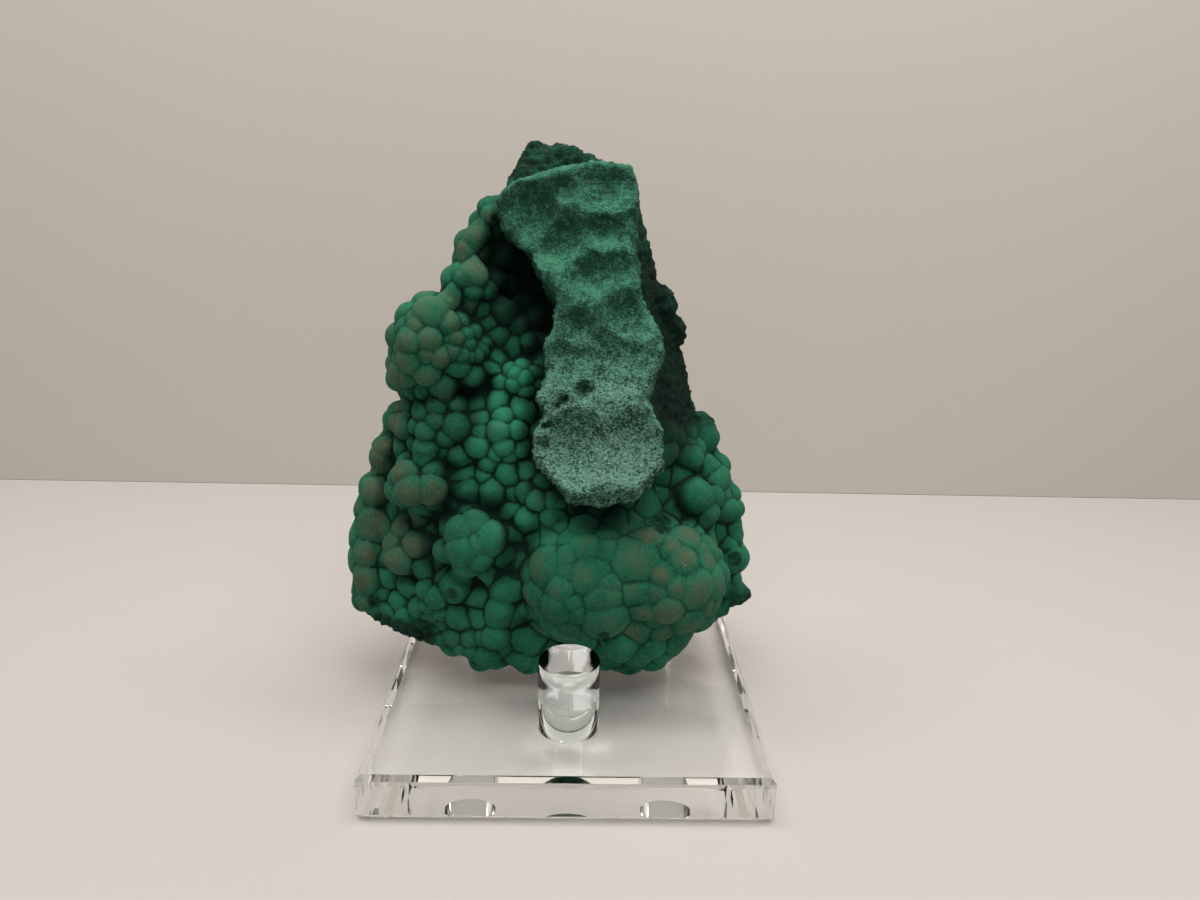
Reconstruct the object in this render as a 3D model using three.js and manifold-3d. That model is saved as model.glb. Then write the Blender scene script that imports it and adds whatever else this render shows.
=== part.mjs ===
// Malachite specimen on a clear three-peg display stand.
// Millimetres, +Z up, +X to the viewer's right, +Y away from the viewer.
// Origin: middle of the underside of the stand's base plate.

import * as THREE from 'three';
import { ConvexGeometry } from 'three/addons/geometries/ConvexGeometry.js';
import { mergeVertices } from 'three/addons/utils/BufferGeometryUtils.js';
import Module from 'manifold-3d';

const wasm = await Module();
wasm.setup();

// ---------------------------------------------------------------- driving dimensions

const PLATE_SIDE = 101.6; // a 4 inch square
const PLATE_THICKNESS = 12;
const PLATE_BEVEL = 1.2;

const PEG_DIAMETER = 15.875; // 5/8 inch rod
const PEG_CHAMFER = 0.5;
const PEG_SIDES = 48;
const FRONT_PEG_HEIGHT = 19.6;
const FRONT_PEG_Y = -29;
const REAR_PEG_HEIGHT = 50;
const REAR_PEG_X = 30;
const REAR_PEG_Y = 32;

const GAP = 0.3; // between pieces that touch
const LEAN = THREE.MathUtils.degToRad(20); // the stone leans back on the rear pegs

// ---------------------------------------------------------------- the stone, in its own frame
// The stone is drawn standing straight up: x across, out = distance in front of its broken
// back, up = height above the point that stands on the plate.

// Matrix: broken chunks, each the hull of its corners [x, out, up].
const FOOT_CHUNK = [
  [-58, 4, 10], [-48, 2, 6], [-26, 3, 3], [-6, 5, 0], [14, 5, 0], [32, 3, 5], [45, 1, 12],
  [50, 2, 19], [47, 0, 42], [38, 0, 64], [26, 1, 84], [-40, 1, 84], [-50, 0, 66], [-58, 1, 42],
  [-58, 8, 18], [-30, 14, 2], [-8, 13, -2], [14, 14, 1], [37, 10, 9], [-55, 9, 44],
  [-44, 20, 62], [-38, 26, 84], [-12, 24, 88], [24, 20, 84], [35, 15, 62], [42, 10, 40],
  [20, 24, 40], [-20, 24, 40], [-44, 16, 28],
];
const CROWN_CHUNK = [
  [-50, 0, 66], [-46, 1, 84], [-40, 6, 98], [-30, 10, 116], [-19, 15, 131], [-13, 20, 145],
  [-4, 20, 145], [5, 18, 140], [14, 15, 132], [15, 8, 112], [25, 4, 101], [34, 0, 74],
  [38, 0, 64], [-44, 26, 80], [-36, 30, 100], [-27, 32, 118], [-18, 36, 131], [-13, 34, 144],
  [-5, 34, 144], [5, 38, 138], [14, 39, 133], [16, 32, 112], [24, 22, 100], [31, 19, 78],
  [-10, 30, 90],
];

// Lobes of the botryoidal face: [x, out, up, radius across, radius out, radius up].
const GREAT_DOME = [
  [6, 15, 26, 22, 23, 20],
  [24, 15, 26, 20, 22, 18],
  [16, 11, 11, 19, 16, 13],
];
const UPPER_DOME = [
  [-39, 28, 89, 11, 15, 14],
  [-31, 25, 88, 10, 13, 11],
  [-45, 24, 83, 7, 10, 9],
];
const CAVITY_RIM = [
  [-27, 28, 114, 7, 10, 8],
  [-29, 30, 105, 7, 9, 7],
  [-23, 30, 123, 5, 9, 6],
];
const MIDDLE_LOBES = [
  [-36, 19, 68, 13, 12, 12],
  [-19, 20, 66, 12, 12, 13],
  [-15, 22, 80, 9, 12, 8],
  [-42, 20, 51, 10, 11, 9],
  [-27, 22, 35, 10, 11, 10],
  [-9, 20, 48, 10, 12, 10],
];
const LEFT_EDGE_LOBES = [
  [-54, 10, 60, 6, 6, 6],
  [-57, 8, 49, 6, 6, 7],
  [-49, 14, 69, 6, 8, 6],
  [-58.5, 6, 42, 6, 7, 7],
  [-59, 3, 31, 7, 10, 14],
  [-46, 12, 34, 8, 9, 9],
  [-57.5, 3, 18, 8, 7, 6.5],
];
const BOTTOM_LOBES = [
  [-36, 13, 21, 10, 9, 9],
  [-44, 8, 14, 9, 7, 6],
  [-19, 18, 20, 7, 7, 8],
  [-21, 16, 11, 7, 7, 7],
  [-23, 12, 4, 8, 6, 6],
  [-11, 10, 3, 8, 6, 6],
  [14, 12, 4, 10, 8, 6],
];
const RIGHT_LOBES = [
  [35, 12, 47, 10, 10, 10],
  [33, 15, 60, 6, 6, 6],
  [37, 7, 66, 6, 9, 8],
  [41, 9, 55, 6, 6, 6],
  [44.5, 7, 45, 6.5, 6, 7],
  [46, 4, 32, 6, 7, 11],
  [46, 2, 20, 8, 6, 4],
  [24, 25, 102, 4, 6, 5],
  [27, 20, 95, 4, 6, 5],
];

// The broken face: a leaf of fibrous malachite standing proud on a narrower rib.
const LEAF_FACE = 45; // out
const LEAF_THICKNESS = 7;
const LEAF_BEVEL = 1;
const LEAF_OUTLINE = [
  [-17, 129], [-21, 124], [-19, 116], [-12, 110], [-9, 103], [-5, 98], [-6, 90], [-8, 87],
  [-7, 79], [-10, 73], [-7, 69], [-10, 65], [-10, 57], [-5, 52], [-1, 48], [7, 48], [17, 50],
  [23, 57], [23, 65], [19, 73], [21, 79], [23, 85], [22, 91], [18, 97], [15, 108], [16, 126],
  [14, 134], [5, 135], [-5, 133],
];
const RIB_CHUNK = [
  [-8, 40, 126], [13, 40, 130], [13, 40, 110], [19, 40, 88], [19, 40, 60], [14, 40, 54],
  [0, 40, 54], [-3, 40, 62], [-12, 20, 126], [14, 14, 130], [23, 12, 103], [33, 10, 85],
  [38, 8, 64], [30, 10, 50], [-8, 16, 60], [-6, 20, 98],
];
// The leaf's torn underside, which hangs a little lower than its face.
const LIP_CHUNK = [
  [-6, 42, 53], [-1, 42.5, 46], [7, 42.5, 45], [17, 42, 47], [24, 41, 56], [-6, 35, 55],
  [0, 35, 49], [15, 35, 50], [22, 35, 58],
];

// Hollows: [x, out, up, radius across, radius out, radius up].
const HOLLOWS = [
  [-13, 38, 107, 9, 14, 15],
  [-20, 42, 113, 7, 14, 9],
  [-8, 38, 96, 6, 12, 7],
  [-8, 38, 144, 4, 7, 4],
  [25, 16, 119, 6, 20, 10],
];

// ---------------------------------------------------------------- solids

// A closed solid from any closed three.js geometry.
function solid(geometry) {
  const shape = new THREE.BufferGeometry();
  shape.setAttribute('position', geometry.attributes.position);
  shape.setIndex(geometry.index);
  const merged = mergeVertices(shape, 1e-3);
  return new wasm.Manifold(new wasm.Mesh({
    numProp: 3,
    vertProperties: merged.attributes.position.array,
    triVerts: new Uint32Array(merged.index.array),
  }));
}

function geometryOf(manifold) {
  const mesh = manifold.getMesh();
  const geometry = new THREE.BufferGeometry();
  geometry.setAttribute('position', new THREE.BufferAttribute(mesh.vertProperties, 3));
  geometry.setIndex(new THREE.BufferAttribute(mesh.triVerts, 1));
  geometry.computeVertexNormals();
  return geometry;
}

// From the stone's own frame to the object's: out is towards the viewer, which is -Y, and
// the whole stone leans back about the point it stands on.
const STONE_STAND_Y = REAR_PEG_Y - PEG_DIAMETER / 2 - GAP - REAR_PEG_HEIGHT * Math.tan(LEAN);
const STONE_PLACE = new THREE.Matrix4()
  .makeRotationX(-LEAN)
  .setPosition(0, STONE_STAND_Y, PLATE_THICKNESS);

function rounded([x, out, up, across, depth, rise]) {
  const size = Math.max(across, rise);
  const detail = size > 15 ? 4 : 2;
  return solid(new THREE.IcosahedronGeometry(1, detail)
    .scale(across, depth, rise)
    .translate(x, -out, up));
}

function chunk(corners) {
  return solid(new ConvexGeometry(corners.map(([x, out, up]) => new THREE.Vector3(x, -out, up))));
}

// An outline in x and up, as a block that reaches from `back` to `face`.
function block(outline, back, face, bevel) {
  const shape = new THREE.Shape(outline.map(([x, up]) => new THREE.Vector2(x, up)));
  return solid(new THREE.ExtrudeGeometry(shape, {
    depth: face - back - 2 * bevel,
    bevelThickness: bevel,
    bevelSize: bevel,
    bevelOffset: -bevel,
    bevelSegments: 1,
  })
    .translate(0, 0, back + bevel)
    .rotateX(Math.PI / 2));
}

const joined = (solids) => solids.reduce((whole, next) => whole.add(next));

// ---------------------------------------------------------------- pieces

function peg(height) {
  const radius = PEG_DIAMETER / 2;
  const profile = [
    [0, 0], [radius, 0], [radius, height - PEG_CHAMFER], [radius - PEG_CHAMFER, height], [0, height],
  ].map(([r, z]) => new THREE.Vector2(r, z));
  return new THREE.LatheGeometry(profile, PEG_SIDES).rotateX(Math.PI / 2);
}

function basePlate() {
  const half = PLATE_SIDE / 2;
  const shape = new THREE.Shape([
    new THREE.Vector2(-half, -half), new THREE.Vector2(half, -half),
    new THREE.Vector2(half, half), new THREE.Vector2(-half, half),
  ]);
  return new THREE.ExtrudeGeometry(shape, {
    depth: PLATE_THICKNESS - 2 * PLATE_BEVEL,
    bevelThickness: PLATE_BEVEL,
    bevelSize: PLATE_BEVEL,
    bevelOffset: -PLATE_BEVEL,
    bevelSegments: 1,
  }).translate(0, 0, PLATE_BEVEL);
}

function malachite() {
  const lobes = [
    ...GREAT_DOME, ...UPPER_DOME, ...CAVITY_RIM, ...MIDDLE_LOBES,
    ...LEFT_EDGE_LOBES, ...BOTTOM_LOBES, ...RIGHT_LOBES,
  ];
  const leaf = block(LEAF_OUTLINE, LEAF_FACE - LEAF_THICKNESS, LEAF_FACE, LEAF_BEVEL);
  const chunks = [FOOT_CHUNK, CROWN_CHUNK, RIB_CHUNK, LIP_CHUNK].map(chunk);
  const grown = joined([...chunks, ...lobes.map(rounded)]);
  const hollowed = HOLLOWS.map(rounded).reduce((stone, hollow) => stone.subtract(hollow), grown);
  return hollowed.add(leaf);
}

// The stone stands clear of the plate and of the front peg that stops it sliding.
function clearOfStand(stone) {
  const reach = PLATE_SIDE * 2;
  const floor = new THREE.BoxGeometry(reach, reach, reach)
    .translate(0, 0, PLATE_THICKNESS + GAP - reach / 2);
  const stop = new THREE.CylinderGeometry(
    PEG_DIAMETER / 2 + GAP, PEG_DIAMETER / 2 + GAP, FRONT_PEG_HEIGHT + GAP, PEG_SIDES,
  )
    .rotateX(Math.PI / 2)
    .translate(0, FRONT_PEG_Y, PLATE_THICKNESS + (FRONT_PEG_HEIGHT + GAP) / 2);
  return [floor, stop].reduce((whole, tool) => whole.subtract(solid(tool)), stone);
}

// ---------------------------------------------------------------- materials

const stoneMaterial = new THREE.MeshStandardMaterial({ color: 0x1f6a4c, roughness: 0.8 });
const acrylicMaterial = new THREE.MeshStandardMaterial({
  color: 0xeef2f2, roughness: 0.05, transparent: true, opacity: 0.35,
});

// ---------------------------------------------------------------- assembly

function place(name, geometry, material, x, y, z) {
  const mesh = new THREE.Mesh(geometry, material);
  mesh.name = name;
  mesh.position.set(x, y, z);
  return mesh;
}

const specimen = new THREE.Group();
const leaned = solid(geometryOf(malachite()).applyMatrix4(STONE_PLACE));
specimen.add(
  place('malachite', geometryOf(clearOfStand(leaned)), stoneMaterial, 0, 0, 0),
  place('base_plate', basePlate(), acrylicMaterial, 0, 0, 0),
  place('front_peg', peg(FRONT_PEG_HEIGHT), acrylicMaterial, 0, FRONT_PEG_Y, PLATE_THICKNESS),
);
for (const [side, name] of [[-1, 'rear_peg_left'], [1, 'rear_peg_right']]) {
  specimen.add(place(
    name, peg(REAR_PEG_HEIGHT), acrylicMaterial, side * REAR_PEG_X, REAR_PEG_Y, PLATE_THICKNESS,
  ));
}

export default specimen;
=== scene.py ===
import math

import bmesh
import bpy
import numpy as np
from bpy.props import FloatProperty, FloatVectorProperty, IntProperty, PointerProperty
from mathutils import Matrix, Vector, noise
from mathutils.bvhtree import BVHTree


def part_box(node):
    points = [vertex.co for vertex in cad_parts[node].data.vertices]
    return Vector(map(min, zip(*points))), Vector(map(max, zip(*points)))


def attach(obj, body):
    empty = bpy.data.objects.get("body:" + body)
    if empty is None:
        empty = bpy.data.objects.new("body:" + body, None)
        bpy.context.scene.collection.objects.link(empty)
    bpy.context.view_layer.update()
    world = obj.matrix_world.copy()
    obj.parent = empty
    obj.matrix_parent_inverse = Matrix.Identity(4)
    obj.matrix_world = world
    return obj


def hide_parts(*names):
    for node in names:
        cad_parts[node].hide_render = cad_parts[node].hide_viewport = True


bl_info = {
    "name": "Malachite Specimen",
    "version": (1, 0, 0),
    "blender": (4, 5, 0),
    "location": "3D View > Sidebar > Specimen",
    "description": "Botryoidal malachite leaning on the pegs of a clear display stand",
    "category": "Add Mesh",
}

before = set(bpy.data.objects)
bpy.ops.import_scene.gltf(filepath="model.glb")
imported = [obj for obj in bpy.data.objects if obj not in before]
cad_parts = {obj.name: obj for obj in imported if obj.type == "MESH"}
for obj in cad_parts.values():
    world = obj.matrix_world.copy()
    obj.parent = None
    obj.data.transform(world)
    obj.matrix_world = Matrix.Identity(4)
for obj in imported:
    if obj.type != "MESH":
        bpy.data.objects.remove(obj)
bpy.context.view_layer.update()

MM = 0.001
BODY = "root"

# ---------------------------------------------------------------- the stone's own frame
# The stone is modelled in millimetres, standing straight: x across, -y out of its broken
# back towards the viewer, z up from the point that stands on the plate. STONE_PLACE then
# leans it back against the rear pegs.

LEAN = math.radians(20)
CONTACT_GAP = 0.3 * MM


def stone_place():
    plate_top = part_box("base_plate")[1].z
    peg_low, peg_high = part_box("rear_peg_left")
    run = (peg_high.z - plate_top) * math.tan(LEAN)
    stand = Vector((0, peg_low.y - CONTACT_GAP - run, plate_top))
    return Matrix.Translation(stand) @ Matrix.Rotation(-LEAN, 4, "X") @ Matrix.Scale(MM, 4)


STONE_PLACE = stone_place()

# Nodules that give the face its character, by lobe: how strongly the crowns are stained brown,
# how sharply they bulge (per mm), then (across, up, radius).
NODULES = {
    "upper_dome": (0.8, 0.095, [
        (-37.5, 96, 5.5), (-34, 100, 3.5), (-33, 93.5, 4), (-31, 89.5, 2.5), (-37.5, 88, 3.5),
        (-41, 92, 3), (-43.5, 87.5, 4), (-44, 82.5, 4), (-38, 84, 2), (-34.5, 83.5, 2.5),
        (-31.5, 85.5, 2), (-35, 76.5, 4), (-39, 78.5, 3.5), (-46, 78.5, 3), (-51, 83.5, 2.5),
        (-42, 94.5, 2.5), (-28, 99, 2),
    ]),
    "upper_dome_side": (0.2, 0.2, [
        (-27, 79.5, 3.5), (-29, 84.5, 2), (-30, 95, 2), (-28.5, 90.5, 2), (-27.5, 88, 1.5),
        (-25, 85, 1.5), (-27.5, 84.5, 1.5), (-23, 89, 1.5), (-26, 92.5, 1.5), (-30, 81, 2.5),
        (-22.5, 82.5, 2), (-23.5, 87, 1.5),
    ]),
    "upper_left": (0.9, 0.065, [
        (-26.5, 117.5, 4.5), (-26.5, 107, 4.5), (-30.5, 113, 3), (-24.5, 114.5, 2.5),
        (-29.5, 105.5, 2.5), (-23.5, 121.5, 3), (-20, 123.5, 2.5),
    ]),
    "pocket": (0, 0.2, [
        (-19.5, 114, 3.5), (-20.5, 107, 2.5), (-17, 106.5, 2.5), (-23, 103, 2.5), (-19, 98, 4),
        (-13, 111, 3), (-15.5, 113.5, 3), (-13.5, 102.5, 3), (-15, 94.5, 3), (-10.5, 97, 3.5),
        (-20.5, 91.5, 2.5), (-16.5, 89, 2.5), (-12.5, 90, 3), (-9, 91, 2), (-21.5, 119, 2),
        (-14, 84, 2), (-18, 83, 1.5), (-26.5, 101.5, 2.5), (-25, 98, 2), (-23, 95, 2),
    ]),
    "middle_rows": (0.3, 0.18, [
        (-42, 71, 2.5), (-37.5, 72.5, 3), (-37.5, 68, 2.5), (-31.5, 73, 2.5),
        (-31.5, 66.5, 4), (-26.5, 73, 2), (-26, 69, 2), (-21, 78.5, 2), (-21, 74, 3),
        (-19, 69.5, 3), (-26, 65.5, 2), (-20, 65.5, 3.5), (-18.5, 61, 3), (-26.5, 61, 3.5),
        (-40.5, 64.5, 3), (-40.5, 60, 4), (-48.5, 61, 4),
        (-32, 58.5, 3.5), (-23.5, 56.5, 2.5), (-24.5, 53, 2), (-30.5, 53, 3), (-18, 54, 3.5),
        (-29.5, 49.5, 4), (-22, 49, 4), (-17, 44, 2.5), (-13, 41, 3.5), (-34.5, 63, 2.5),
        (-35, 59, 2), (-17, 58.5, 2), (-14, 60.5, 2.5), (-13, 55, 2.5), (-37, 55, 3),
        (-14, 49.5, 2.5), (-10, 47, 2.5),
    ]),
    "bright_cluster": (0, 0.15, [
        (-13.5, 71.5, 4), (-15, 66, 3), (-13, 79.5, 2.5), (-16, 81, 2), (-10.5, 81.5, 2),
        (-16.5, 77.5, 2), (-9.5, 78, 2), (-12.5, 76, 2.5), (-11, 74, 2),
    ]),
    "left_edge": (1.0, 0.05, [
        (-48.5, 79.5, 4), (-48, 73.5, 3.8), (-48.5, 67, 4.5), (-54.5, 61.3, 3.6), (-56.5, 56.7, 4.4),
        (-56.5, 48.8, 5), (-57.5, 39, 5.4), (-59.5, 31, 4.2), (-60, 22.5, 4.8), (-60, 16, 3),
    ]),
    "left_pair": (0.9, 0.085, [
        (-46.5, 54.5, 4), (-44, 48.5, 4.8), (-37.5, 49, 4.8),
        (-48.5, 39.5, 3.5), (-43, 41, 3), (-43, 34, 4.5), (-49, 29, 5.5), (-51.5, 33.5, 4),
    ]),
    "left_pair_foot": (0.1, 0.16, [
        (-37, 29.5, 2), (-42.5, 28, 3.5), (-47.5, 22, 3), (-50.5, 17.5, 2.5), (-40, 38, 2),
    ]),
    "five_fold": (0.3, 0.06, [
        (-31, 39, 5), (-26, 41.5, 4.5), (-21, 37, 5.5), (-30, 33, 5), (-24, 30, 3.5),
        (-25, 35, 3.5), (-17.5, 30.5, 4), (-16.5, 37.5, 2),
    ]),
    "lower_left": (0.2, 0.12, [
        (-31.5, 23, 5), (-26.5, 20, 3.5), (-32, 13, 3.5), (-38, 19, 3), (-42, 21.5, 2.5),
        (-44, 15.5, 2.5), (-48.5, 13, 2), (-36.5, 13.5, 2), (-53.5, 14, 2.5), (-57.5, 14, 2),
        (-40, 10, 2), (-34, 7, 2.5), (-35, 26, 2), (-26.5, 14, 2.5), (-28.5, 7, 2.5),
        (-28, 3, 2.5), (-22.5, 26, 3),
    ]),
    "column": (0.1, 0.09, [
        (-18, 22.5, 4.5), (-19.5, 15.5, 4.5), (-20.5, 8, 4), (-23.5, 2, 4), (-20, -1, 2.5),
        (-12, 7.5, 5), (-14, 1, 4), (-9, -0.5, 3.5), (-14, 15, 3.5),
    ]),
    "great_dome": (0.5, 0.045, [
        (-6.5, 37.5, 3), (-10, 36, 2.5), (-4.5, 41.5, 3.5), (3, 41, 4), (3.5, 35.5, 4),
        (-8, 30, 5.5), (-11, 21.5, 4), (-3.5, 24, 3.5), (-4.5, 17.5, 4.5), (4, 28, 4.5),
        (12.5, 42, 4), (16.5, 32, 6.5), (9.5, 25, 3.5), (9, 21.5, 4.5), (9.5, 14.5, 6.5),
        (17.5, 23.5, 3.5), (10, 34.5, 3.5), (-1.5, 32.5, 3), (7.5, 29.5, 2.5), (0, 12.5, 3),
        (-8.5, 11, 3.5), (-1.5, 29, 2.5), (-12.5, 27, 3), (16.5, 41.5, 3), (7.5, 45, 3),
        (0.5, 45, 2),
    ]),
    "great_dome_right": (0.95, 0.042, [
        (23.5, 28, 3), (25.5, 18, 4.5), (30, 32, 4), (26.5, 35.5, 2.5), (34, 24, 5.5),
        (32.5, 14, 5), (20.5, 38, 4), (32, 38.5, 4), (22, 23, 2.5), (19.5, 17.5, 3),
        (28.5, 24.5, 3), (37.5, 31.5, 2.5), (18, 12, 3.5), (25, 11.5, 3), (37, 17.5, 2.5),
    ]),
    "under_dome": (0, 0.08, [
        (13.5, 7, 5), (19, 3.5, 3.5), (23.5, 6, 3), (11, 2, 2.5), (18, 1, 2.5), (8.5, 5, 2.5),
    ]),
    "right": (0.15, 0.1, [
        (33.5, 59.5, 4), (43, 54, 4), (34, 49, 6), (38.5, 43.5, 4), (45.5, 45, 4),
        (30.5, 54, 3.5), (28.5, 45.5, 3), (40, 58, 3), (44.5, 50, 3), (48.5, 39, 3.5),
        (45.5, 34.5, 3), (42.5, 37.5, 3), (45, 21.5, 2.5), (47, 30.5, 4), (50, 22.5, 3),
        (51.5, 19, 2.5), (48, 43.5, 2.5),
    ]),
    "right_knobs": (0, 0.15, [
        (25, 100.5, 2.5), (27.5, 94.5, 3), (21.5, 106.5, 2), (23.5, 104, 2), (26.5, 98.5, 2),
        (25.5, 90.5, 2.5), (30, 91, 2.5), (23, 98, 2),
    ]),
}

# More nodules fill the gaps between them, largest first: (radius, darts thrown).
FILL_SIZES = [(4.0, 2000), (3.2, 3500), (2.5, 5000), (1.8, 6000)]
FILL_CLOSENESS = 0.88  # of the sum of two radii, between neighbours' middles

# The broken leaf's face stands this far out of the stone's back. Bowls are pressed into it, and
# ragged pits broken out of it: (across, up, radius, depth).
LEAF_OUT = 45.0
BOWLS = [
    (-12, 119, 10, 3.2), (-5, 113.5, 8.5, 3.2), (-3.8, 126.5, 4, 1.6), (7.5, 128, 8, 2.4),
    (6.2, 116, 5.5, 2.4), (3, 105, 7, 2.2), (14, 94.5, 8, 2.2), (1, 91, 5, 1.8),
    (10, 83, 10, 2.0), (-1, 82, 7, 1.6), (0, 60, 10.5, 3.2), (16.5, 60.5, 10.5, 3.0),
    (11, 106, 6, 1.6), (14, 116, 6, 1.4),
]
PITS = [(2.5, 75, 2.6, 2.8), (-3, 72, 1.6, 2.0), (-7.5, 61.5, 1.8, 2.0), (-7, 66, 1.3, 1.8)]

# Knocks that broke through the velvet to the matrix: (across, up, radius).
SCARS = [(24.5, 41.5, 3.4), (9, 11, 2.0), (-33, 21, 2.0), (47.5, 31, 2.6), (-57, 17, 2.2)]

# Painted shade darkens the pocket beside the leaf and the hollow on its other side, and painted
# light brightens the nodules under the leaf's edge: (across, -out, up) of the middle and
# reach along each axis.
SHADED_RECESSES = [
    ((-16, -26, 105), (9, 15, 16)),
    ((-9, -22, 95), (7, 14, 12)),
    ((27, -22, 80), (12, 20, 26)),
    ((20, -24, 104), (7, 20, 16)),
]
# Painted light: places under the leaf's edge where the nodules are drawn brighter and less shaded.
LIT_UNDER_LEAF = [
    ((-15, -26, 74), (11, 18, 16)),
    ((-6, -32, 41), (17, 14, 8)),
    ((-20, -24, 58), (12, 14, 10)),
]


# Grids, in mm, that the growing stone is rebuilt on: coarse to lose the facets, fine to swell.
COARSE_GRID = 0.9
FINE_GRID = 0.6

FAR_OUT = 200  # well in front of the stone
EDGE_OUT = 14  # about how far out the face's outer edges lie
SKY_REACH = 14  # how near stone must be to shade a point
SKY_START = 0.15  # how far above the skin the test for sky begins
CARVED_SEAM = 0.4  # reach of a seam's groove to each side
DARK_SEAM = 0.35  # reach of the painted shade along a seam
STAND_CLEARANCE = 0.15 * MM  # kept between the stone and its stand


# ---------------------------------------------------------------- settings


class StoneSettings(bpy.types.PropertyGroup):
    skin: FloatProperty(
        name="Skin detail", description="Size of the grid that fuses the nodules",
        default=0.42 * MM, unit="LENGTH",
    )
    seam: FloatProperty(
        name="Seam", description="Depth of the groove between two nodules",
        default=0.25 * MM, unit="LENGTH",
    )
    sky_rays: IntProperty(
        name="Sky rays", description="Rays that test how open each point is", default=12,
    )
    triangles: IntProperty(
        name="Triangles", description="How many triangles the finished stone keeps",
        default=194000,
    )
    seed: IntProperty(name="Seed", description="Picks the small nodules' places", default=11)
    sunk: FloatProperty(
        name="Sunk", description="How far the gaps between nodules reach under the stone's skin",
        default=1.5 * MM, unit="LENGTH",
    )
    velvet: FloatVectorProperty(
        name="Velvet", description="Fresh green of the nodules", subtype="COLOR",
        default=(0.013, 0.112, 0.061),
    )
    shade: FloatVectorProperty(
        name="Shade", description="Dark green in the creases", subtype="COLOR",
        default=(0.003, 0.022, 0.013),
    )
    stain: FloatVectorProperty(
        name="Stain", description="Brown film on the crowns", subtype="COLOR",
        default=(0.1, 0.082, 0.05),
    )
    ridge: FloatVectorProperty(
        name="Ridge", description="Bright fibres between the leaf's upper bowls", subtype="COLOR",
        default=(0.115, 0.47, 0.29),
    )
    mint: FloatVectorProperty(
        name="Mint", description="Bright grains on the lower leaf", subtype="COLOR",
        default=(0.23, 0.55, 0.4),
    )
    grey_green: FloatVectorProperty(
        name="Grey green", description="Dark grains on the lower leaf", subtype="COLOR",
        default=(0.01, 0.052, 0.036),
    )


class StandSettings(bpy.types.PropertyGroup):
    plate_bevel: FloatProperty(
        name="Plate bevel", description="Width of the polished bevel round the plate",
        default=1.2 * MM, unit="LENGTH",
    )
    corner_bevel: FloatProperty(
        name="Corner bevel", description="Width of the bevel on the plate's upright corners",
        default=0.4 * MM, unit="LENGTH",
    )
    peg_bevel: FloatProperty(
        name="Peg bevel", description="Width of the rounded rim of a peg",
        default=0.5 * MM, unit="LENGTH",
    )
    peg_sides: IntProperty(name="Peg sides", description="Facets round a peg", default=128)
    tint: FloatVectorProperty(
        name="Tint", description="Colour that thick acrylic takes", subtype="COLOR",
        default=(0.86, 0.95, 0.93),
    )
    density: FloatProperty(
        name="Density", description="How strongly thick acrylic is tinted", default=1.0,
    )
    ior: FloatProperty(name="IOR", description="Refractive index of acrylic", default=1.49)


class StageSettings(bpy.types.PropertyGroup):
    table: FloatVectorProperty(
        name="Table", description="Colour of the table top", subtype="COLOR",
        default=(0.53, 0.506, 0.485),
    )
    wall: FloatVectorProperty(
        name="Wall", description="Colour of the wall behind", subtype="COLOR",
        default=(0.65, 0.608, 0.555),
    )
    bounces: IntProperty(
        name="Mirror bounces", description="How often light may turn inside the acrylic",
        default=12,
    )
    key: FloatProperty(name="Key light", description="Power of the lamp above", default=2.75)
    wash: FloatProperty(name="Wall light", description="Power of the wall lamp", default=5.7)
    fill: FloatProperty(name="Fill light", description="Power of the front lamp", default=0.1)
    ambient: FloatProperty(name="Ambient", description="Brightness all round", default=0.08)


# ---------------------------------------------------------------- shader helpers


class Value:
    """A number that varies over a surface; arithmetic on it adds Math nodes."""

    def __init__(self, finish, socket):
        self.finish = finish
        self.socket = socket

    def math(self, operation, a, b, clamp=False):
        settings = {"operation": operation, "use_clamp": clamp}
        return self.finish.value("ShaderNodeMath", {0: a, 1: b}, settings)

    def __add__(self, other):
        return self.math("ADD", self, other)

    __radd__ = __add__

    def __sub__(self, other):
        return self.math("SUBTRACT", self, other)

    def __rsub__(self, other):
        return self.math("SUBTRACT", other, self)

    def __mul__(self, other):
        return self.math("MULTIPLY", self, other)

    __rmul__ = __mul__

    def clamped(self):
        return self.math("ADD", self, 0.0, clamp=True)


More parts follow.
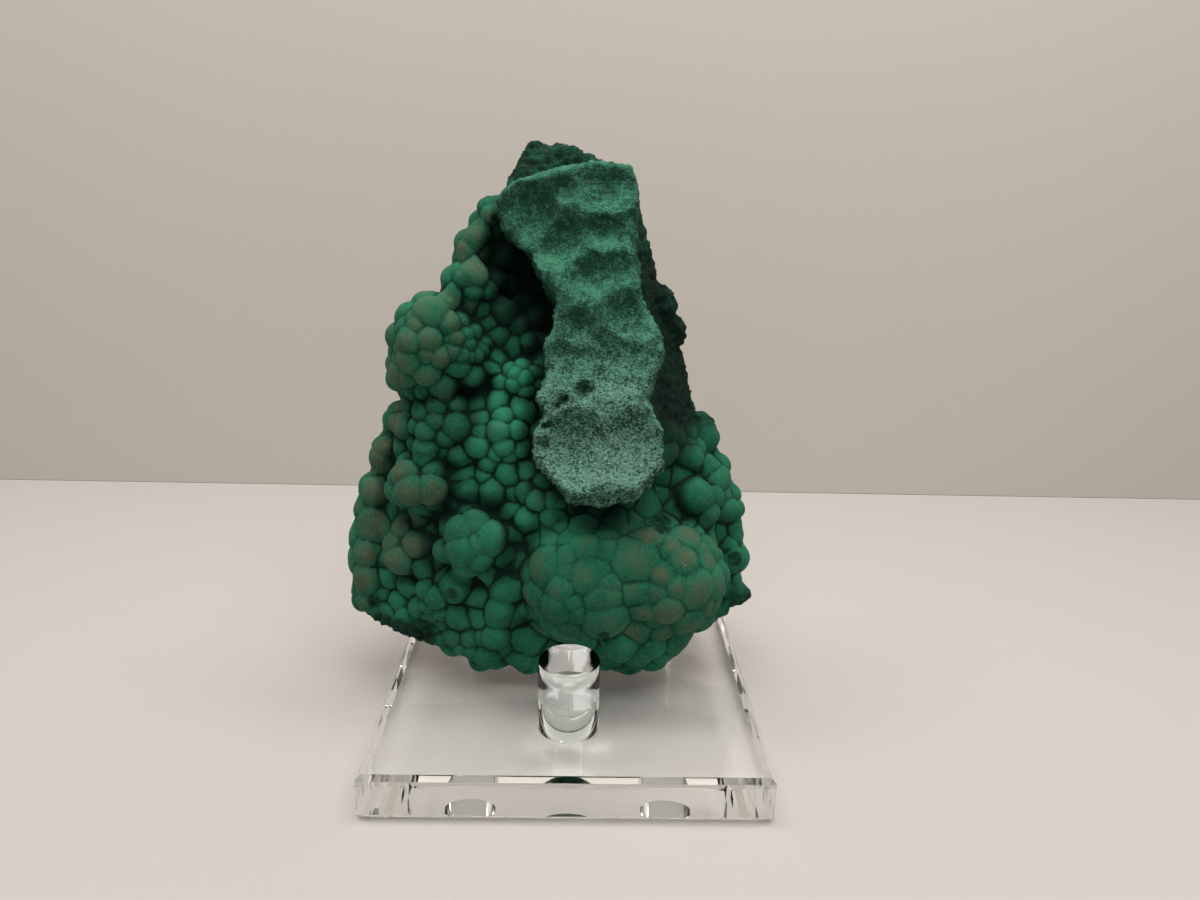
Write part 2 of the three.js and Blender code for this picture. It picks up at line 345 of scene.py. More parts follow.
class Finish:
    """A material and the nodes that make it."""

    def __init__(self, name):
        self.material = bpy.data.materials.new(name)
        self.material.use_nodes = True
        self.tree = self.material.node_tree
        self.tree.nodes.clear()

    def node(self, kind, inputs=None, settings=None):
        made = self.tree.nodes.new(kind)
        for key, setting in (settings or {}).items():
            setattr(made, key, setting)
        for key, given in (inputs or {}).items():
            source = given.socket if isinstance(given, Value) else given
            if isinstance(source, bpy.types.NodeSocket):
                self.tree.links.new(source, made.inputs[key])
            else:
                made.inputs[key].default_value = source
        return made

    def value(self, kind, inputs=None, settings=None, output=0):
        return Value(self, self.node(kind, inputs, settings).outputs[output])

    def place(self):
        return self.node("ShaderNodeTexCoord").outputs["Object"]

    def height(self):
        place = self.node("ShaderNodeSeparateXYZ", {0: self.place()})
        return Value(self, place.outputs["Z"])

    def attribute(self, name):
        return self.value("ShaderNodeAttribute", settings={"attribute_name": name}, output="Fac")

    def noise(self, grain, detail=3.0, rough=0.55, vector=None):
        """Noise whose features are about `grain` metres across."""
        inputs = {
            "Vector": vector or self.place(), "Scale": 1 / grain, "Detail": detail,
            "Roughness": rough,
        }
        return self.value("ShaderNodeTexNoise", inputs)

    def between(self, value, low, high):
        """0 below low, 1 above high, and smooth between."""
        inputs = {"Value": value, "From Min": low, "From Max": high}
        return self.value("ShaderNodeMapRange", inputs, {"interpolation_type": "SMOOTHSTEP"})

    def mix(self, factor, a, b):
        """Colour a where factor is 0, colour b where it is 1."""
        made = self.node("ShaderNodeMix", {0: factor, 6: a, 7: b}, {"data_type": "RGBA"})
        return made.outputs[2]

    def bump(self, height, distance, strength=1.0, normal=None):
        inputs = {"Height": height, "Distance": distance, "Strength": strength}
        if normal is not None:
            inputs["Normal"] = normal
        return self.node("ShaderNodeBump", inputs).outputs["Normal"]

    def surface(self, inputs):
        shader = self.node("ShaderNodeBsdfPrincipled", inputs)
        self.output = self.node("ShaderNodeOutputMaterial", {"Surface": shader.outputs[0]})
        return self.material


def rgba(colour, scale=1.0):
    return (*[channel * scale for channel in colour[:3]], 1.0)


# ---------------------------------------------------------------- materials

DUST = (0.36, 0.36, 0.29, 1)
PALE_FIBRE = (0.5, 0.6, 0.53, 1)
RUST = (0.14, 0.075, 0.05, 1)
DIRT = (0.05, 0.04, 0.03, 1)
HOST_ROCK = (0.12, 0.09, 0.06, 1)
HOST_ORE = (0.03, 0.11, 0.065, 1)
HOST_SHADE = (0.02, 0.025, 0.018, 1)
LEAF_GREEN_ABOVE = 125 * MM  # the leaf turns from green to mint between these heights
LEAF_MINT_BELOW = 85 * MM


def malachite_finish(settings):
    """Velvety green nodules, brown on their crowns, and the grainy mint broken leaf."""
    f = Finish("malachite")
    crease_shade = f.attribute("crease_shade")
    shut = 1 - f.attribute("open")
    crown = f.attribute("crown")
    leaf = f.attribute("leaf")
    rough = f.attribute("rough")
    recess_shade = f.attribute("recess_shade")
    under_leaf_light = f.attribute("under_leaf_light")

    # Velvet: broad changes of green, with a fine nap.
    broad = f.noise(14 * MM, detail=2.0)
    nap = f.noise(0.7 * MM, detail=4.0, rough=0.8)
    velvet = f.mix(
        f.between(broad, 0.35, 0.68), rgba(settings.velvet, 0.75), rgba(settings.velvet, 1.3),
    )
    velvet = f.mix(f.between(nap, 0.4, 0.65) * 0.5, velvet, rgba(settings.velvet, 2.1))
    # Painted light: nodules under the leaf's edge are lifted towards a brighter green.
    velvet = f.mix(under_leaf_light, velvet, f.mix(0.5, velvet, rgba(settings.velvet, 3.0)))

    # Brown film, patchy, strongest on the crowns.
    patches = f.noise(7 * MM, detail=5.0, rough=0.7)
    film = f.between(crown + (patches - 0.5) * 2.2, 0.15, 1.1)
    stain = f.mix(f.noise(0.8 * MM, detail=3.0), rgba(settings.stain, 0.7), rgba(settings.stain, 1.5))
    grown = f.mix(film * 0.6, velvet, stain)

    # Pale dust caught in scattered specks.
    dust = f.between(f.noise(0.9 * MM, detail=4.0, rough=0.75), 0.68, 0.74)
    dusty = f.between(f.noise(9 * MM, detail=1.0), 0.5, 0.68)
    rubbed = f.between(f.noise(1.6 * MM, detail=5.0, rough=0.8), 0.58, 0.68)
    worn = f.between(crown, 0.45, 0.9) * rubbed
    grown = f.mix((dust * dusty * 0.45 + worn * 0.4).clamped(), grown, DUST)

    # Painted shade: creases, seams and places that nearby stone hides from the sky go dark, less so
    # under the leaf's edge.
    gloom = f.between(shut, 0.15, 0.62)
    shade = (crease_shade * 0.85 + gloom * (1 - under_leaf_light * 0.45)).clamped() * 0.95
    grown = f.mix(shade, grown, rgba(settings.shade, 0.7))

    # Broken leaf: mint grains on grey green, with painted light making them brightest on the slopes
    # that face upward and painted shade where nearby stone hides the sky.
    flat = f.node(
        "ShaderNodeVectorMath", {0: f.place(), 1: (0.8, 1.0, 1.1)}, {"operation": "MULTIPLY"},
    ).outputs[0]
    grain = f.noise(0.6 * MM, detail=3.0, rough=0.8, vector=flat)
    clump = f.noise(2.6 * MM, detail=4.0, rough=0.7)
    lit_slope = f.between(f.attribute("rise"), -0.45, 0.5)
    low = f.between(f.height(), LEAF_GREEN_ABOVE, LEAF_MINT_BELOW)
    tone = (grain - 0.5) * (low * 1.9 + 1.6) + (clump - 0.5) * 1.5 + low * 0.27 - 0.04
    tone = tone + lit_slope * (0.5 - low * 0.15) - shut * 0.25
    dark = f.mix(low, rgba(settings.velvet, 0.6), rgba(settings.grey_green))
    light = f.mix(low, rgba(settings.ridge), rgba(settings.mint))
    fibre = f.mix(f.between(tone, -0.12, 0.78), dark, light)
    # Pale fibres, patchy, and shown more on upward facing places as painted light.
    pale = f.between(f.noise(12 * MM, detail=2.0) + lit_slope * 0.3, 0.5, 0.8)
    fibre = f.mix(pale * low * f.between(grain, 0.53, 0.6) * 0.6, fibre, PALE_FIBRE)
    rust = f.between(f.noise(1.2 * MM, detail=5.0, rough=0.8), 0.6, 0.68)
    fibre = f.mix(rust * low * 0.55, fibre, RUST)

    # Broken matrix: the same minerals, darker and dirtier.
    crumb = f.noise(2.4 * MM, detail=6.0, rough=0.72)
    matrix = f.mix(f.between(crumb, 0.38, 0.66), rgba(settings.shade, 1.4), rgba(settings.velvet, 1.25))
    glint = f.between(f.noise(0.9 * MM, detail=4.0, rough=0.8), 0.6, 0.7)
    matrix = f.mix(glint * 0.5, matrix, rgba(settings.mint, 0.8))
    matrix = f.mix(f.between(f.noise(6 * MM, detail=5.0), 0.56, 0.72) * 0.7, matrix, DIRT)

    # The flat back: brown host rock, with malachite worked into it.
    ore = f.between(f.noise(11 * MM, detail=6.0, rough=0.65), 0.44, 0.58)
    host = f.mix(ore, HOST_ROCK, HOST_ORE)
    host = f.mix(f.between(crumb, 0.5, 0.7) * 0.7, host, HOST_SHADE)
    matrix = f.mix(f.attribute("back"), matrix, host)

    colour = f.mix(rough, grown, matrix)
    # Painted shade in the pocket and the hollows beside the leaf.
    colour = f.mix((recess_shade * 0.85).clamped(), colour, rgba(settings.shade, 0.6))
    colour = f.mix(leaf, colour, fibre)

    fine = f.bump(nap * (1 - leaf), 0.2 * MM, 0.7)
    coarse = f.bump(grain * (leaf + rough * 0.8).clamped(), 2.2 * MM, 1.0, fine)
    return f.surface({
        "Base Color": colour,
        "Roughness": 0.86 - leaf * 0.26,
        "Specular IOR Level": 0.15,
        "Sheen Weight": 0.05,
        "Sheen Roughness": 0.45,
        "Sheen Tint": (0.5, 0.9, 0.7, 1),
        "Normal": coarse,
    })


def acrylic_finish(settings):
    """Polished clear acrylic: plain transmission with a trace of absorption."""
    f = Finish("clear_acrylic")
    smear = f.noise(25 * MM, detail=4.0, rough=0.6)
    f.surface({
        "Base Color": (1, 1, 1, 1),
        "Roughness": f.between(smear, 0.5, 0.8) * 0.03,
        "IOR": settings.ior,
        "Transmission Weight": 1.0,
    })
    body = f.node(
        "ShaderNodeVolumeAbsorption", {"Color": rgba(settings.tint), "Density": settings.density},
    )
    f.tree.links.new(body.outputs[0], f.output.inputs["Volume"])
    return f.material


# ---------------------------------------------------------------- mesh helpers


def linked(name, data):
    made = bpy.data.objects.new(name, data)
    bpy.context.scene.collection.objects.link(made)
    return made


def object_from(name, bm):
    mesh = bpy.data.meshes.new(name)
    bm.to_mesh(mesh)
    bm.free()
    return linked(name, mesh)


def finish_piece(piece, material, slot, *nodes):
    piece.data.materials.clear()
    piece.data.materials.append(material)
    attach(piece, BODY)
    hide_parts(*nodes)


def apply_modifier(piece, kind, **settings):
    modifier = piece.modifiers.new(kind, kind)
    for key, setting in settings.items():
        setattr(modifier, key, setting)
    graph = bpy.context.evaluated_depsgraph_get()
    changed = bpy.data.meshes.new_from_object(piece.evaluated_get(graph))
    piece.modifiers.clear()
    piece.data = changed
    return piece


def points_of(mesh):
    flat = np.empty(len(mesh.vertices) * 3, np.float32)
    mesh.vertices.foreach_get("co", flat)
    return flat.reshape(-1, 3).astype(float)


def normals_of(mesh):
    flat = np.empty(len(mesh.vertices) * 3, np.float32)
    mesh.vertex_normals.foreach_get("vector", flat)
    return flat.reshape(-1, 3).astype(float)


def move_points(mesh, points):
    mesh.vertices.foreach_set("co", points.astype(np.float32).ravel())
    mesh.update()


def corners_of(mesh):
    mesh.calc_loop_triangles()
    corners = np.empty(len(mesh.loop_triangles) * 3, np.int32)
    mesh.loop_triangles.foreach_get("vertices", corners)
    return corners.reshape(-1, 3)


def store(mesh, name, values):
    attribute = mesh.attributes.new(name, "FLOAT", "POINT")
    attribute.data.foreach_set("value", values.astype(np.float32))


def ramp(values, low, high):
    share = np.clip((values - low) / (high - low), 0, 1)
    return share * share * (3 - 2 * share)


def relaxed(mesh, points, rounds):
    """The points after a few rounds of moving to the middle of their neighbours."""
    pairs = np.empty(len(mesh.edges) * 2, np.int32)
    mesh.edges.foreach_get("vertices", pairs)
    a, b = pairs.reshape(-1, 2).T
    count = np.bincount(a, minlength=len(points)) + np.bincount(b, minlength=len(points))
    for _ in range(rounds):
        total = np.zeros_like(points)
        for axis in range(3):
            total[:, axis] += np.bincount(a, points[b, axis], len(points))
            total[:, axis] += np.bincount(b, points[a, axis], len(points))
        points = total / np.maximum(count, 1)[:, None]
    return points


def fractal(points, size, octaves):
    """Fractal noise at each point, about -1 to 1, with features `size` across."""
    roughness, lacunarity = 1.0, 2.0
    return np.array([
        noise.fractal(Vector(p) / size, roughness, lacunarity, octaves) for p in points
    ])


# ---------------------------------------------------------------- stone


def base_stone(settings):
    """The frame's stone in its own frame, as one closed skin, its facets softened."""
    bm = bmesh.new()
    bm.from_mesh(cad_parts["malachite"].data)
    bmesh.ops.remove_doubles(bm, verts=bm.verts, dist=0.001 * MM)
    bmesh.ops.transform(bm, matrix=STONE_PLACE.inverted(), verts=bm.verts)
    base = object_from("malachite_stone", bm)
    apply_modifier(base, "REMESH", mode="VOXEL", voxel_size=COARSE_GRID)
    points = points_of(base.data)
    grown = 1 - torn(points, normals_of(base.data))
    points += (relaxed(base.data, points, 6) - points) * grown[:, None]
    move_points(base.data, points)
    normals = normals_of(base.data)
    rise = ((relaxed(base.data, points, 30) - points) * normals).sum(1)
    points += normals * (np.clip(rise, 0, None) * 0.7 * grown * open_ground(points))[:, None]
    move_points(base.data, points)
    return base


def leaf_side(points):
    """1 right of the leaf's left edge and above its foot."""
    across, up = points[:, 0], points[:, 2]
    return ramp(across + 9 * ramp(up, 108, 118), -14, -12) * ramp(up, 43, 46)


def torn(points, normals):
    """1 on the leaf, crown, right flank, back and lower corners, which no nodule covers."""
    across, out, up = points[:, 0], -points[:, 1], points[:, 2]
    leaf = ramp(out, LEAF_OUT - 10, LEAF_OUT - 7) * leaf_side(points)
    crown = ramp(up, 126, 130)
    flank = ramp(across, 12, 16) * ramp(up, 66, 72)
    back = ramp(normals[:, 1], 0.35, 0.6)
    left_corner = ramp(-across, 37, 41) * ramp(-up, -13.5, -11)
    right_corner = ramp(across, 45, 48) * ramp(-up, -25, -20)
    return np.max([leaf, crown, flank, back, left_corner, right_corner], axis=0)


def open_ground(points):
    """1 where valleys between lobes are filled, 0 in the pocket, which stays deep."""
    across, up = points[:, 0], points[:, 2]
    beside = ramp(np.abs(across + 15), 9, 14)
    return np.maximum(beside, ramp(np.abs(up - 103), 15, 20))


def planted(skin):
    """Named nodules, as rows of place, radius, stain and bulge."""
    rows = []
    for stain, bulge, spots in NODULES.values():
        for across, up, radius in spots:
            start = Vector((across, -FAR_OUT, up))
            hit = skin.ray_cast(start, Vector((0, 1, 0)))[0]
            if hit is None:
                hit = skin.find_nearest(Vector((across, -EDGE_OUT, up)))[0]
            on_leaf = hit.y < -(LEAF_OUT - 3) and across > -22 and up > 46
            if on_leaf:
                continue
            rows.append((*hit, radius, stain, bulge))
    return rows


def behind_leaf(points):
    """True under the leaf's overhang, where nothing shows."""
    across, out, up = points[:, 0], -points[:, 1], points[:, 2]
    return (out > 16) & (across > -6) & (across < 26) & (up > 50) & (up < 136)


def scattered(base, rows, settings):
    """Smaller nodules thrown at the skin, kept where the ones before them leave room."""
    random = np.random.RandomState(settings.seed)
    corners = corners_of(base.data)
    points = points_of(base.data)
    a, b, c = (points[corners[:, k]] for k in range(3))
    cross = np.cross(b - a, c - a)
    double_area = np.linalg.norm(cross, axis=1)
    normals = cross / np.maximum(double_area, 1e-9)[:, None]
    chance = double_area / double_area.sum()
    named = np.array(rows)
    centres = [row[:3] for row in rows]
    radii = [row[3] for row in rows]
    for radius, darts in FILL_SIZES:
        picks = random.choice(len(corners), darts, p=chance)
        u, v = random.rand(2, darts)
        over = u + v > 1
        u[over], v[over] = 1 - u[over], 1 - v[over]
        spots = a[picks] + (b - a)[picks] * u[:, None] + (c - a)[picks] * v[:, None]
        sizes = radius * random.uniform(0.85, 1.15, darts)
        bare = (torn(spots, normals[picks]) > 0.5) | behind_leaf(spots)
        for spot, size in zip(spots[~bare], sizes[~bare]):
            away = np.linalg.norm(np.array(centres) - spot, axis=1)
            if (away < FILL_CLOSENESS * (np.array(radii) + size)).any():
                continue
            kin = named[np.argmin(away[:len(named)])]
            rows.append((*spot, size, 0.6 * kin[4], kin[5]))
            centres.append(tuple(spot))
            radii.append(size)
    return np.array(rows)


def bowl_depth(points, bowls):
    """How deep the bowls dent the leaf under each point."""
    depth = np.zeros(len(points))
    for across, up, radius, sunk in bowls:
        share = ((points[:, 0] - across) ** 2 + (points[:, 2] - up) ** 2) / radius ** 2
        depth = np.maximum(depth, sunk * np.clip(1 - share, 0, None))
    return depth


class Cells:
    """The nodule each point belongs to, how far its border is, and how much it bulges."""

    NEIGHBOURS = 7
    BLEND = 2.5  # mm over which the bulge of one lobe passes into the next
    CHUNK = 8000

    def __init__(self, points, rows):
        spots, sizes = rows[:, :3], rows[:, 3]
        self.border, self.power, self.bulge = np.empty((3, len(points)))
        own = np.empty(len(points), int)
        for start in range(0, len(points), self.CHUNK):
            part = points[start:start + self.CHUNK]
            span = (part ** 2).sum(1)[:, None] + (spots ** 2).sum(1) - 2 * part @ spots.T
            power = span - sizes ** 2
            close = np.argpartition(power, self.NEIGHBOURS, axis=1)[:, :self.NEIGHBOURS]
            rank = np.take_along_axis(power, close, 1)
            order = np.argsort(rank, axis=1)
            close, rank = np.take_along_axis(close, order, 1), np.take_along_axis(rank, order, 1)
            apart = np.linalg.norm(spots[close[:, 1:]] - spots[close[:, :1]], axis=2)
            border = (rank[:, 1:] - rank[:, :1]) / np.maximum(2 * apart, 0.5)
            stop = start + len(part)
            own[start:stop] = close[:, 0]
            self.border[start:stop] = border.min(1)
            self.power[start:stop] = rank[:, 0]
            weight = np.exp(-span / (2 * self.BLEND ** 2))
            self.bulge[start:stop] = weight @ rows[:, 5] / np.maximum(weight.sum(1), 1e-9)
        self.stain = rows[own, 4]
        self.cap = np.clip(-self.power / rows[own, 3] ** 2, 0, 1)


def swollen(base, rows, settings):
    """The skin with each nodule's cell swollen into a cushion, rebuilt as a fine even mesh."""
    apply_modifier(base, "REMESH", mode="VOXEL", voxel_size=FINE_GRID)
    points = points_of(base.data)
    normals = normals_of_smoothed(base.data, points, 8)
    cells = Cells(points, rows)
    height = np.maximum(-cells.bulge * cells.power, -settings.sunk / MM)
    height *= 1 - torn(points, normals)
    move_points(base.data, points + normals * height[:, None])
    return apply_modifier(base, "REMESH", mode="VOXEL", voxel_size=settings.skin / MM)


def masks(points, normals):
    """Leaf and rough shares at each point, from its place and the way it faces."""
    out, across, up = -points[:, 1], points[:, 0], points[:, 2]
    leaf = ramp(out, LEAF_OUT - 6.5, LEAF_OUT - 5) * ramp(-normals[:, 1], 0.15, 0.45)
    leaf *= leaf_side(points)
    rough = (1 - leaf) * torn(points, normals)
    for x, z, size in SCARS:
        away = np.hypot(across - x, up - z)
        rough = np.maximum(rough, ramp(-away, -size, -0.6 * size) * ramp(-normals[:, 1], 0.2, 0.5))
    return leaf, rough


def within(points, places):
    """1 deep inside any of the ellipsoids, fading to 0 outside."""
    share = np.zeros(len(points))
    for middle, spans in places:
        away = np.linalg.norm((points - np.array(middle)) / np.array(spans), axis=1)
        share = np.maximum(share, ramp(-away, -1.15, -0.6))
    return share


def openness(mesh, points, normals, settings):
    """Share of the sky over each point that no nearby stone hides."""
    tree = BVHTree.FromPolygons(points.tolist(), corners_of(mesh).tolist())
    random = np.random.RandomState(settings.seed)
    free = np.zeros(len(points))
    starts = (points + normals * SKY_START).tolist()
    for _ in range(settings.sky_rays):
        way = random.normal(size=points.shape)
        way = way / np.linalg.norm(way, axis=1)[:, None] + normals
        way /= np.linalg.norm(way, axis=1)[:, None]
        seen = [
            tree.ray_cast(start, direction, SKY_REACH)[0] is None
            for start, direction in zip(starts, way.tolist())
        ]
        free += np.array(seen, float)
    return relaxed_values(mesh, free / settings.sky_rays, 3)


def relaxed_values(mesh, values, rounds):
    return relaxed(mesh, np.repeat(values[:, None], 3, 1), rounds)[:, 0]


def carve(stone, rows, settings):
    """Dents, grain, breaks and seams that are too fine for the cushions."""
    mesh = stone.data
    points, normals = points_of(mesh), normals_of(mesh)
    points = relaxed(mesh, points, 1) * 0.6 + points * 0.4
    cells = Cells(points, rows)
    leaf, rough = masks(points, normals)
    grown = (1 - leaf) * (1 - rough)
    swell = fractal(points, 6.0, 2)
    grain = fractal(points, 1.3, 3)
    ragged = points + 1.4 * fractal(points, 2.2, 3)[:, None]
    points[:, 1] += leaf * (bowl_depth(points, BOWLS) + bowl_depth(ragged, PITS) - 0.6)
    crags = np.abs(fractal(points, 5.0, 4)) - 0.25
    push = 0.25 * swell * (1 - rough) + 0.35 * grain * leaf + rough * (0.5 * grain - 1.7 * crags)
    push -= settings.seam / MM * np.exp(-(cells.border / CARVED_SEAM) ** 2) * grown
    points += normals * push[:, None]
    move_points(mesh, points)


def keep_clear(points):
    """Points that would reach into the plate or a peg are moved just outside."""
    plate_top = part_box("base_plate")[1].z
    points[:, 2] = np.maximum(points[:, 2], plate_top + STAND_CLEARANCE)
    low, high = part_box("front_peg")
    middle = np.array([(low.x + high.x) / 2, (low.y + high.y) / 2])
    wanted = (high.x - low.x) / 2 + STAND_CLEARANCE
    away = points[:, :2] - middle
    distance = np.linalg.norm(away, axis=1)
    inside = (distance < wanted) & (points[:, 2] < high.z + STAND_CLEARANCE)
    points[inside, :2] = middle + away[inside] / distance[inside, None] * wanted
    for name in ("rear_peg_left", "rear_peg_right"):
        low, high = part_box(name)
        beside = (points[:, 0] > low.x) & (points[:, 0] < high.x) & (points[:, 2] < high.z)
        points[beside, 1] = np.minimum(points[beside, 1], low.y - STAND_CLEARANCE)
    return points


def mark(stone, rows, settings):
    """Stores what the material reads: openness and seams for painted shade, crowns, the leaf, how
    steeply it faces up for painted light, matrix.
    """
    mesh = stone.data
    points, normals = points_of(mesh), normals_of(mesh)
    cells = Cells(points, rows)
    leaf, rough = masks(points, normals)
    seam = np.exp(-(cells.border / DARK_SEAM) ** 2) * (1 - leaf) * (1 - rough)
    seam *= np.clip(6 * cells.bulge, 0.3, 1)
    near = ((relaxed(mesh, points, 5) - points) * normals).sum(1)
    # Painted shade: concave places and the grooves between nodules.
    store(mesh, "crease_shade", np.clip(ramp(near, 0.03, 0.2) * 0.7 + seam * 0.5, 0, 1))
    store(mesh, "open", openness(mesh, points, normals, settings))
    store(mesh, "crown", cells.stain * (0.35 + 0.65 * cells.cap))
    store(mesh, "leaf", leaf)
    store(mesh, "rough", rough)
    store(mesh, "back", ramp(normals_of_smoothed(mesh, points, 6)[:, 1], 0.5, 0.8))
    store(mesh, "recess_shade", within(points, SHADED_RECESSES))
    store(mesh, "under_leaf_light", within(points, LIT_UNDER_LEAF))
    # How upward each place faces, which the leaf's painted light reads.
    store(mesh, "rise", normals_of_smoothed(mesh, points, 4)[:, 2])


def normals_of_smoothed(mesh, points, rounds):
    """Normals of the skin with its fine grain ironed out."""
    move_points(mesh, relaxed(mesh, points, rounds))
    normals = normals_of(mesh)
    move_points(mesh, points)
    return normals


def grow_stone(settings):
    base = base_stone(settings)
    bm = bmesh.new()
    bm.from_mesh(base.data)
    skin = BVHTree.FromBMesh(bm)
    bm.free()
    rows = scattered(base, planted(skin), settings)
    stone = swollen(base, rows, settings)
    carve(stone, rows, settings)
    stone.data.calc_loop_triangles()
    share = settings.triangles / len(stone.data.loop_triangles)
    if share < 1:
        apply_modifier(stone, "DECIMATE", ratio=share)
    mark(stone, rows, settings)
    stone.data.transform(STONE_PLACE)
    move_points(stone.data, keep_clear(points_of(stone.data)))
    for face in stone.data.polygons:
        face.use_smooth = True
    return stone


# ---------------------------------------------------------------- stand


def rise_of(edge):
    return abs(edge.verts[0].co.z - edge.verts[1].co.z)


def bevel_edges(bm, edges, width, segments=1):
    bmesh.ops.bevel(
        bm, geom=edges, offset=width, offset_type="OFFSET", segments=segments, profile=0.5,
        affect="EDGES", material=-1,
    )


def clear_plate(settings):
    """A polished square plate with a wide bevel above and below and crisp upright corners."""
    low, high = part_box("base_plate")
    bm = bmesh.new()
    place = Matrix.Translation((low + high) / 2) @ Matrix.Diagonal((*(high - low), 1))
    bmesh.ops.create_cube(bm, size=1.0, matrix=place)
    bevel_edges(bm, [e for e in bm.edges if rise_of(e) < MM], settings.plate_bevel)
    bevel_edges(bm, [e for e in bm.edges if rise_of(e) > 5 * MM], settings.corner_bevel)
    return object_from("clear_stand", bm)


def clear_peg(node, settings):
    """A peg with a rounded rim, its foot let into the plate where the two are bonded."""
    low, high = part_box(node)
    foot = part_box("base_plate")[1].z - 3 * MM
    middle = Vector(((low.x + high.x) / 2, (low.y + high.y) / 2, (foot + high.z) / 2))
    radius = (high.x - low.x) / 2
    bm = bmesh.new()
    bmesh.ops.create_cone(
        bm, cap_ends=True, segments=settings.peg_sides, radius1=radius, radius2=radius,
        depth=high.z - foot, matrix=Matrix.Translation(middle),
    )
    rim = [e for e in bm.edges if min(v.co.z for v in e.verts) > high.z - 0.1 * MM]
    bevel_edges(bm, rim, settings.peg_bevel, segments=3)
    return object_from(node + "_blank", bm)


def bonded_stand(settings):
    """The plate with its three pegs as one clear body, as light sees a bonded joint."""
    stand = clear_plate(settings)
    for node in ("front_peg", "rear_peg_left", "rear_peg_right"):
        peg = clear_peg(node, settings)
        apply_modifier(stand, "BOOLEAN", operation="UNION", solver="EXACT", object=peg)
        bpy.data.objects.remove(peg)
    for face in stand.data.polygons:
        tall = face.area < 60 * MM * MM and face.center.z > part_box("base_plate")[1].z
        face.use_smooth = tall and abs(face.normal.z) < 0.99
    return stand


# ---------------------------------------------------------------- operators


class SPECIMEN_OT_stone(bpy.types.Operator):
    """Grow the malachite where it leans on the stand"""

    bl_idname = "specimen.stone"
    bl_label = "Malachite"

    def execute(self, context):
        settings = context.scene.specimen_stone
        stone = grow_stone(settings)
        finish_piece(stone, malachite_finish(settings), "malachite", "malachite")
        return {"FINISHED"}


class SPECIMEN_OT_stand(bpy.types.Operator):
    """Make the clear plate and its three pegs"""

    bl_idname = "specimen.stand"
    bl_label = "Clear stand"

    def execute(self, context):
        settings = context.scene.specimen_stand
        acrylic = acrylic_finish(settings)
        nodes = ("base_plate", "front_peg", "rear_peg_left", "rear_peg_right")
        finish_piece(bonded_stand(settings), acrylic, "clear_acrylic", *nodes)
        return {"FINISHED"}


class SPECIMEN_OT_stage(bpy.types.Operator):
    """Set the table, the wall, the soft lights and the camera"""

    bl_idname = "specimen.stage"
    bl_label = "Stage"

    def execute(self, context):
        settings = context.scene.specimen_stage
        make_backdrop(settings)
        make_lights(settings)
        make_camera()
        context.scene.cycles.glossy_bounces = settings.bounces
        context.scene.cycles.blur_glossy = 0
        return {"FINISHED"}


class SPECIMEN_PT_panel(bpy.types.Panel):
    """Lists the specimen's operators and settings"""

    bl_idname = "SPECIMEN_PT_panel"
    bl_label = "Malachite Specimen"
    bl_space_type = "VIEW_3D"
    bl_region_type = "UI"
    bl_category = "Specimen"

    def draw(self, context):
        groups = (
            (SPECIMEN_OT_stone, context.scene.specimen_stone),
            (SPECIMEN_OT_stand, context.scene.specimen_stand),
            (SPECIMEN_OT_stage, context.scene.specimen_stage),
        )
        for operator, settings in groups:
            box = self.layout.box()
            box.operator(operator.bl_idname)
            for name in settings.__annotations__:
                box.prop(settings, name)


# ---------------------------------------------------------------- stage

WALL_Y = 187 * MM
CAMERA_PLACE = Vector((1.65, -227.7, 149.8)) * MM
CAMERA_YAW = math.radians(1.4)
CAMERA_TILT = math.radians(17.3)
CAMERA_ROLL = math.radians(1.44)
CAMERA_LENS = 26.3
SENSOR = 36.0


def backdrop_finish(name, colour, one_sided):
    f = Finish(name)
    cloudy = f.noise(0.4, detail=2.0)
    tone = f.mix(cloudy, rgba(colour, 0.97), rgba(colour, 1.03))
    shader = f.node("ShaderNodeBsdfPrincipled", {"Base Color": tone, "Roughness": 0.9})
    surface = shader.outputs[0]
    if one_sided:
        back = f.node("ShaderNodeNewGeometry").outputs["Backfacing"]
        clear = f.node("ShaderNodeBsdfTransparent").outputs[0]
        surface = f.node("ShaderNodeMixShader", {0: back, 1: surface, 2: clear}).outputs[0]
    f.node("ShaderNodeOutputMaterial", {"Surface": surface})
    return f.material


def sheet_object(name, matrix, half_width, half_height, material):
    bm = bmesh.new()
    size = Matrix.Diagonal((half_width, half_height, 1, 1))
    bmesh.ops.create_grid(bm, x_segments=1, y_segments=1, size=1.0, matrix=matrix @ size)
    made = object_from(name, bm)
    made.data.materials.append(material)
    return made


def make_backdrop(settings):
    table = backdrop_finish("table_top", settings.table, one_sided=False)
    lowered = Matrix.Translation((0, WALL_Y - 1.5, -0.2 * MM))
    sheet_object("table", lowered, 2.0, 1.5, table)
    wall = backdrop_finish("wall", settings.wall, one_sided=True)
    upright = Matrix.Translation((0, WALL_Y, 1.0)) @ Matrix.Rotation(math.radians(90), 4, "X")
    sheet_object("wall", upright, 2.0, 1.0, wall)


def area_light(name, place, aim, size, power, colour):
    data = bpy.data.lights.new(name, "AREA")
    data.shape = "RECTANGLE"
    data.size, data.size_y = size
    data.energy = power
    data.color = colour
    lamp = linked(name, data)
    lamp.location = place
    lamp.rotation_euler = (Vector(aim) - Vector(place)).to_track_quat("-Z", "Y").to_euler()


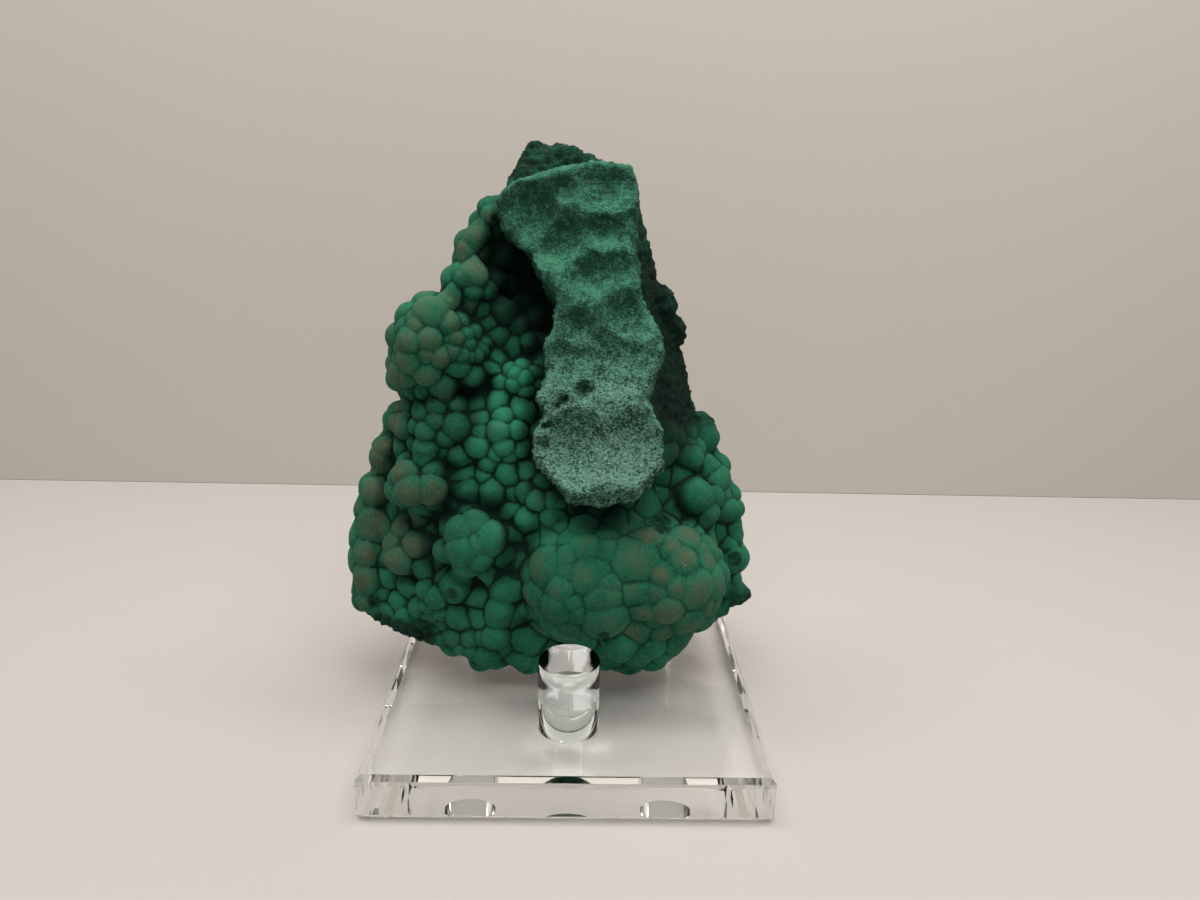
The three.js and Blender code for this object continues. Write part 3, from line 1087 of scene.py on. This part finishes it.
def make_lights(settings):
    area_light(
        "key", (0.05, -0.34, 0.66), (0, 0, 0.06), (0.7, 0.25), settings.key, (1.0, 0.97, 0.94),
    )
    area_light(
        "wall_wash", (0, 0.02, 0.80), (0, WALL_Y, 0.15), (1.2, 0.2), settings.wash,
        (1.0, 0.97, 0.93),
    )
    area_light(
        "fill", (-0.25, -0.75, 0.45), (0, 0, 0.08), (0.6, 0.5), settings.fill, (1.0, 0.98, 0.96),
    )
    world = bpy.data.worlds.new("soft_room")
    world.use_nodes = True
    background = world.node_tree.nodes["Background"]
    background.inputs["Color"].default_value = (1.0, 0.985, 0.96, 1)
    background.inputs["Strength"].default_value = settings.ambient
    bpy.context.scene.world = world


def make_camera():
    data = bpy.data.cameras.new("camera")
    data.lens = CAMERA_LENS
    data.sensor_width = SENSOR
    data.clip_start = 0.01
    camera = linked("camera", data)
    turn = Matrix.Rotation(-CAMERA_YAW, 4, "Z")
    turn = turn @ Matrix.Rotation(math.radians(90) - CAMERA_TILT, 4, "X")
    turn = turn @ Matrix.Rotation(CAMERA_ROLL, 4, "Z")
    camera.matrix_world = Matrix.Translation(CAMERA_PLACE) @ turn
    bpy.context.scene.camera = camera
    bpy.context.scene.view_settings.view_transform = "Standard"


# ---------------------------------------------------------------- add-on

CLASSES = (
    StoneSettings, StandSettings, StageSettings,
    SPECIMEN_OT_stone, SPECIMEN_OT_stand, SPECIMEN_OT_stage, SPECIMEN_PT_panel,
)
SETTINGS = {
    "specimen_stone": StoneSettings,
    "specimen_stand": StandSettings,
    "specimen_stage": StageSettings,
}


def register():
    for made in CLASSES:
        bpy.utils.register_class(made)
    for name, group in SETTINGS.items():
        setattr(bpy.types.Scene, name, PointerProperty(type=group))


def unregister():
    for name in SETTINGS:
        delattr(bpy.types.Scene, name)
    for made in reversed(CLASSES):
        bpy.utils.unregister_class(made)


def main():
    register()
    bpy.ops.specimen.stone()
    bpy.ops.specimen.stand()
    bpy.ops.specimen.stage()


if __name__ == "__main__":
    main()
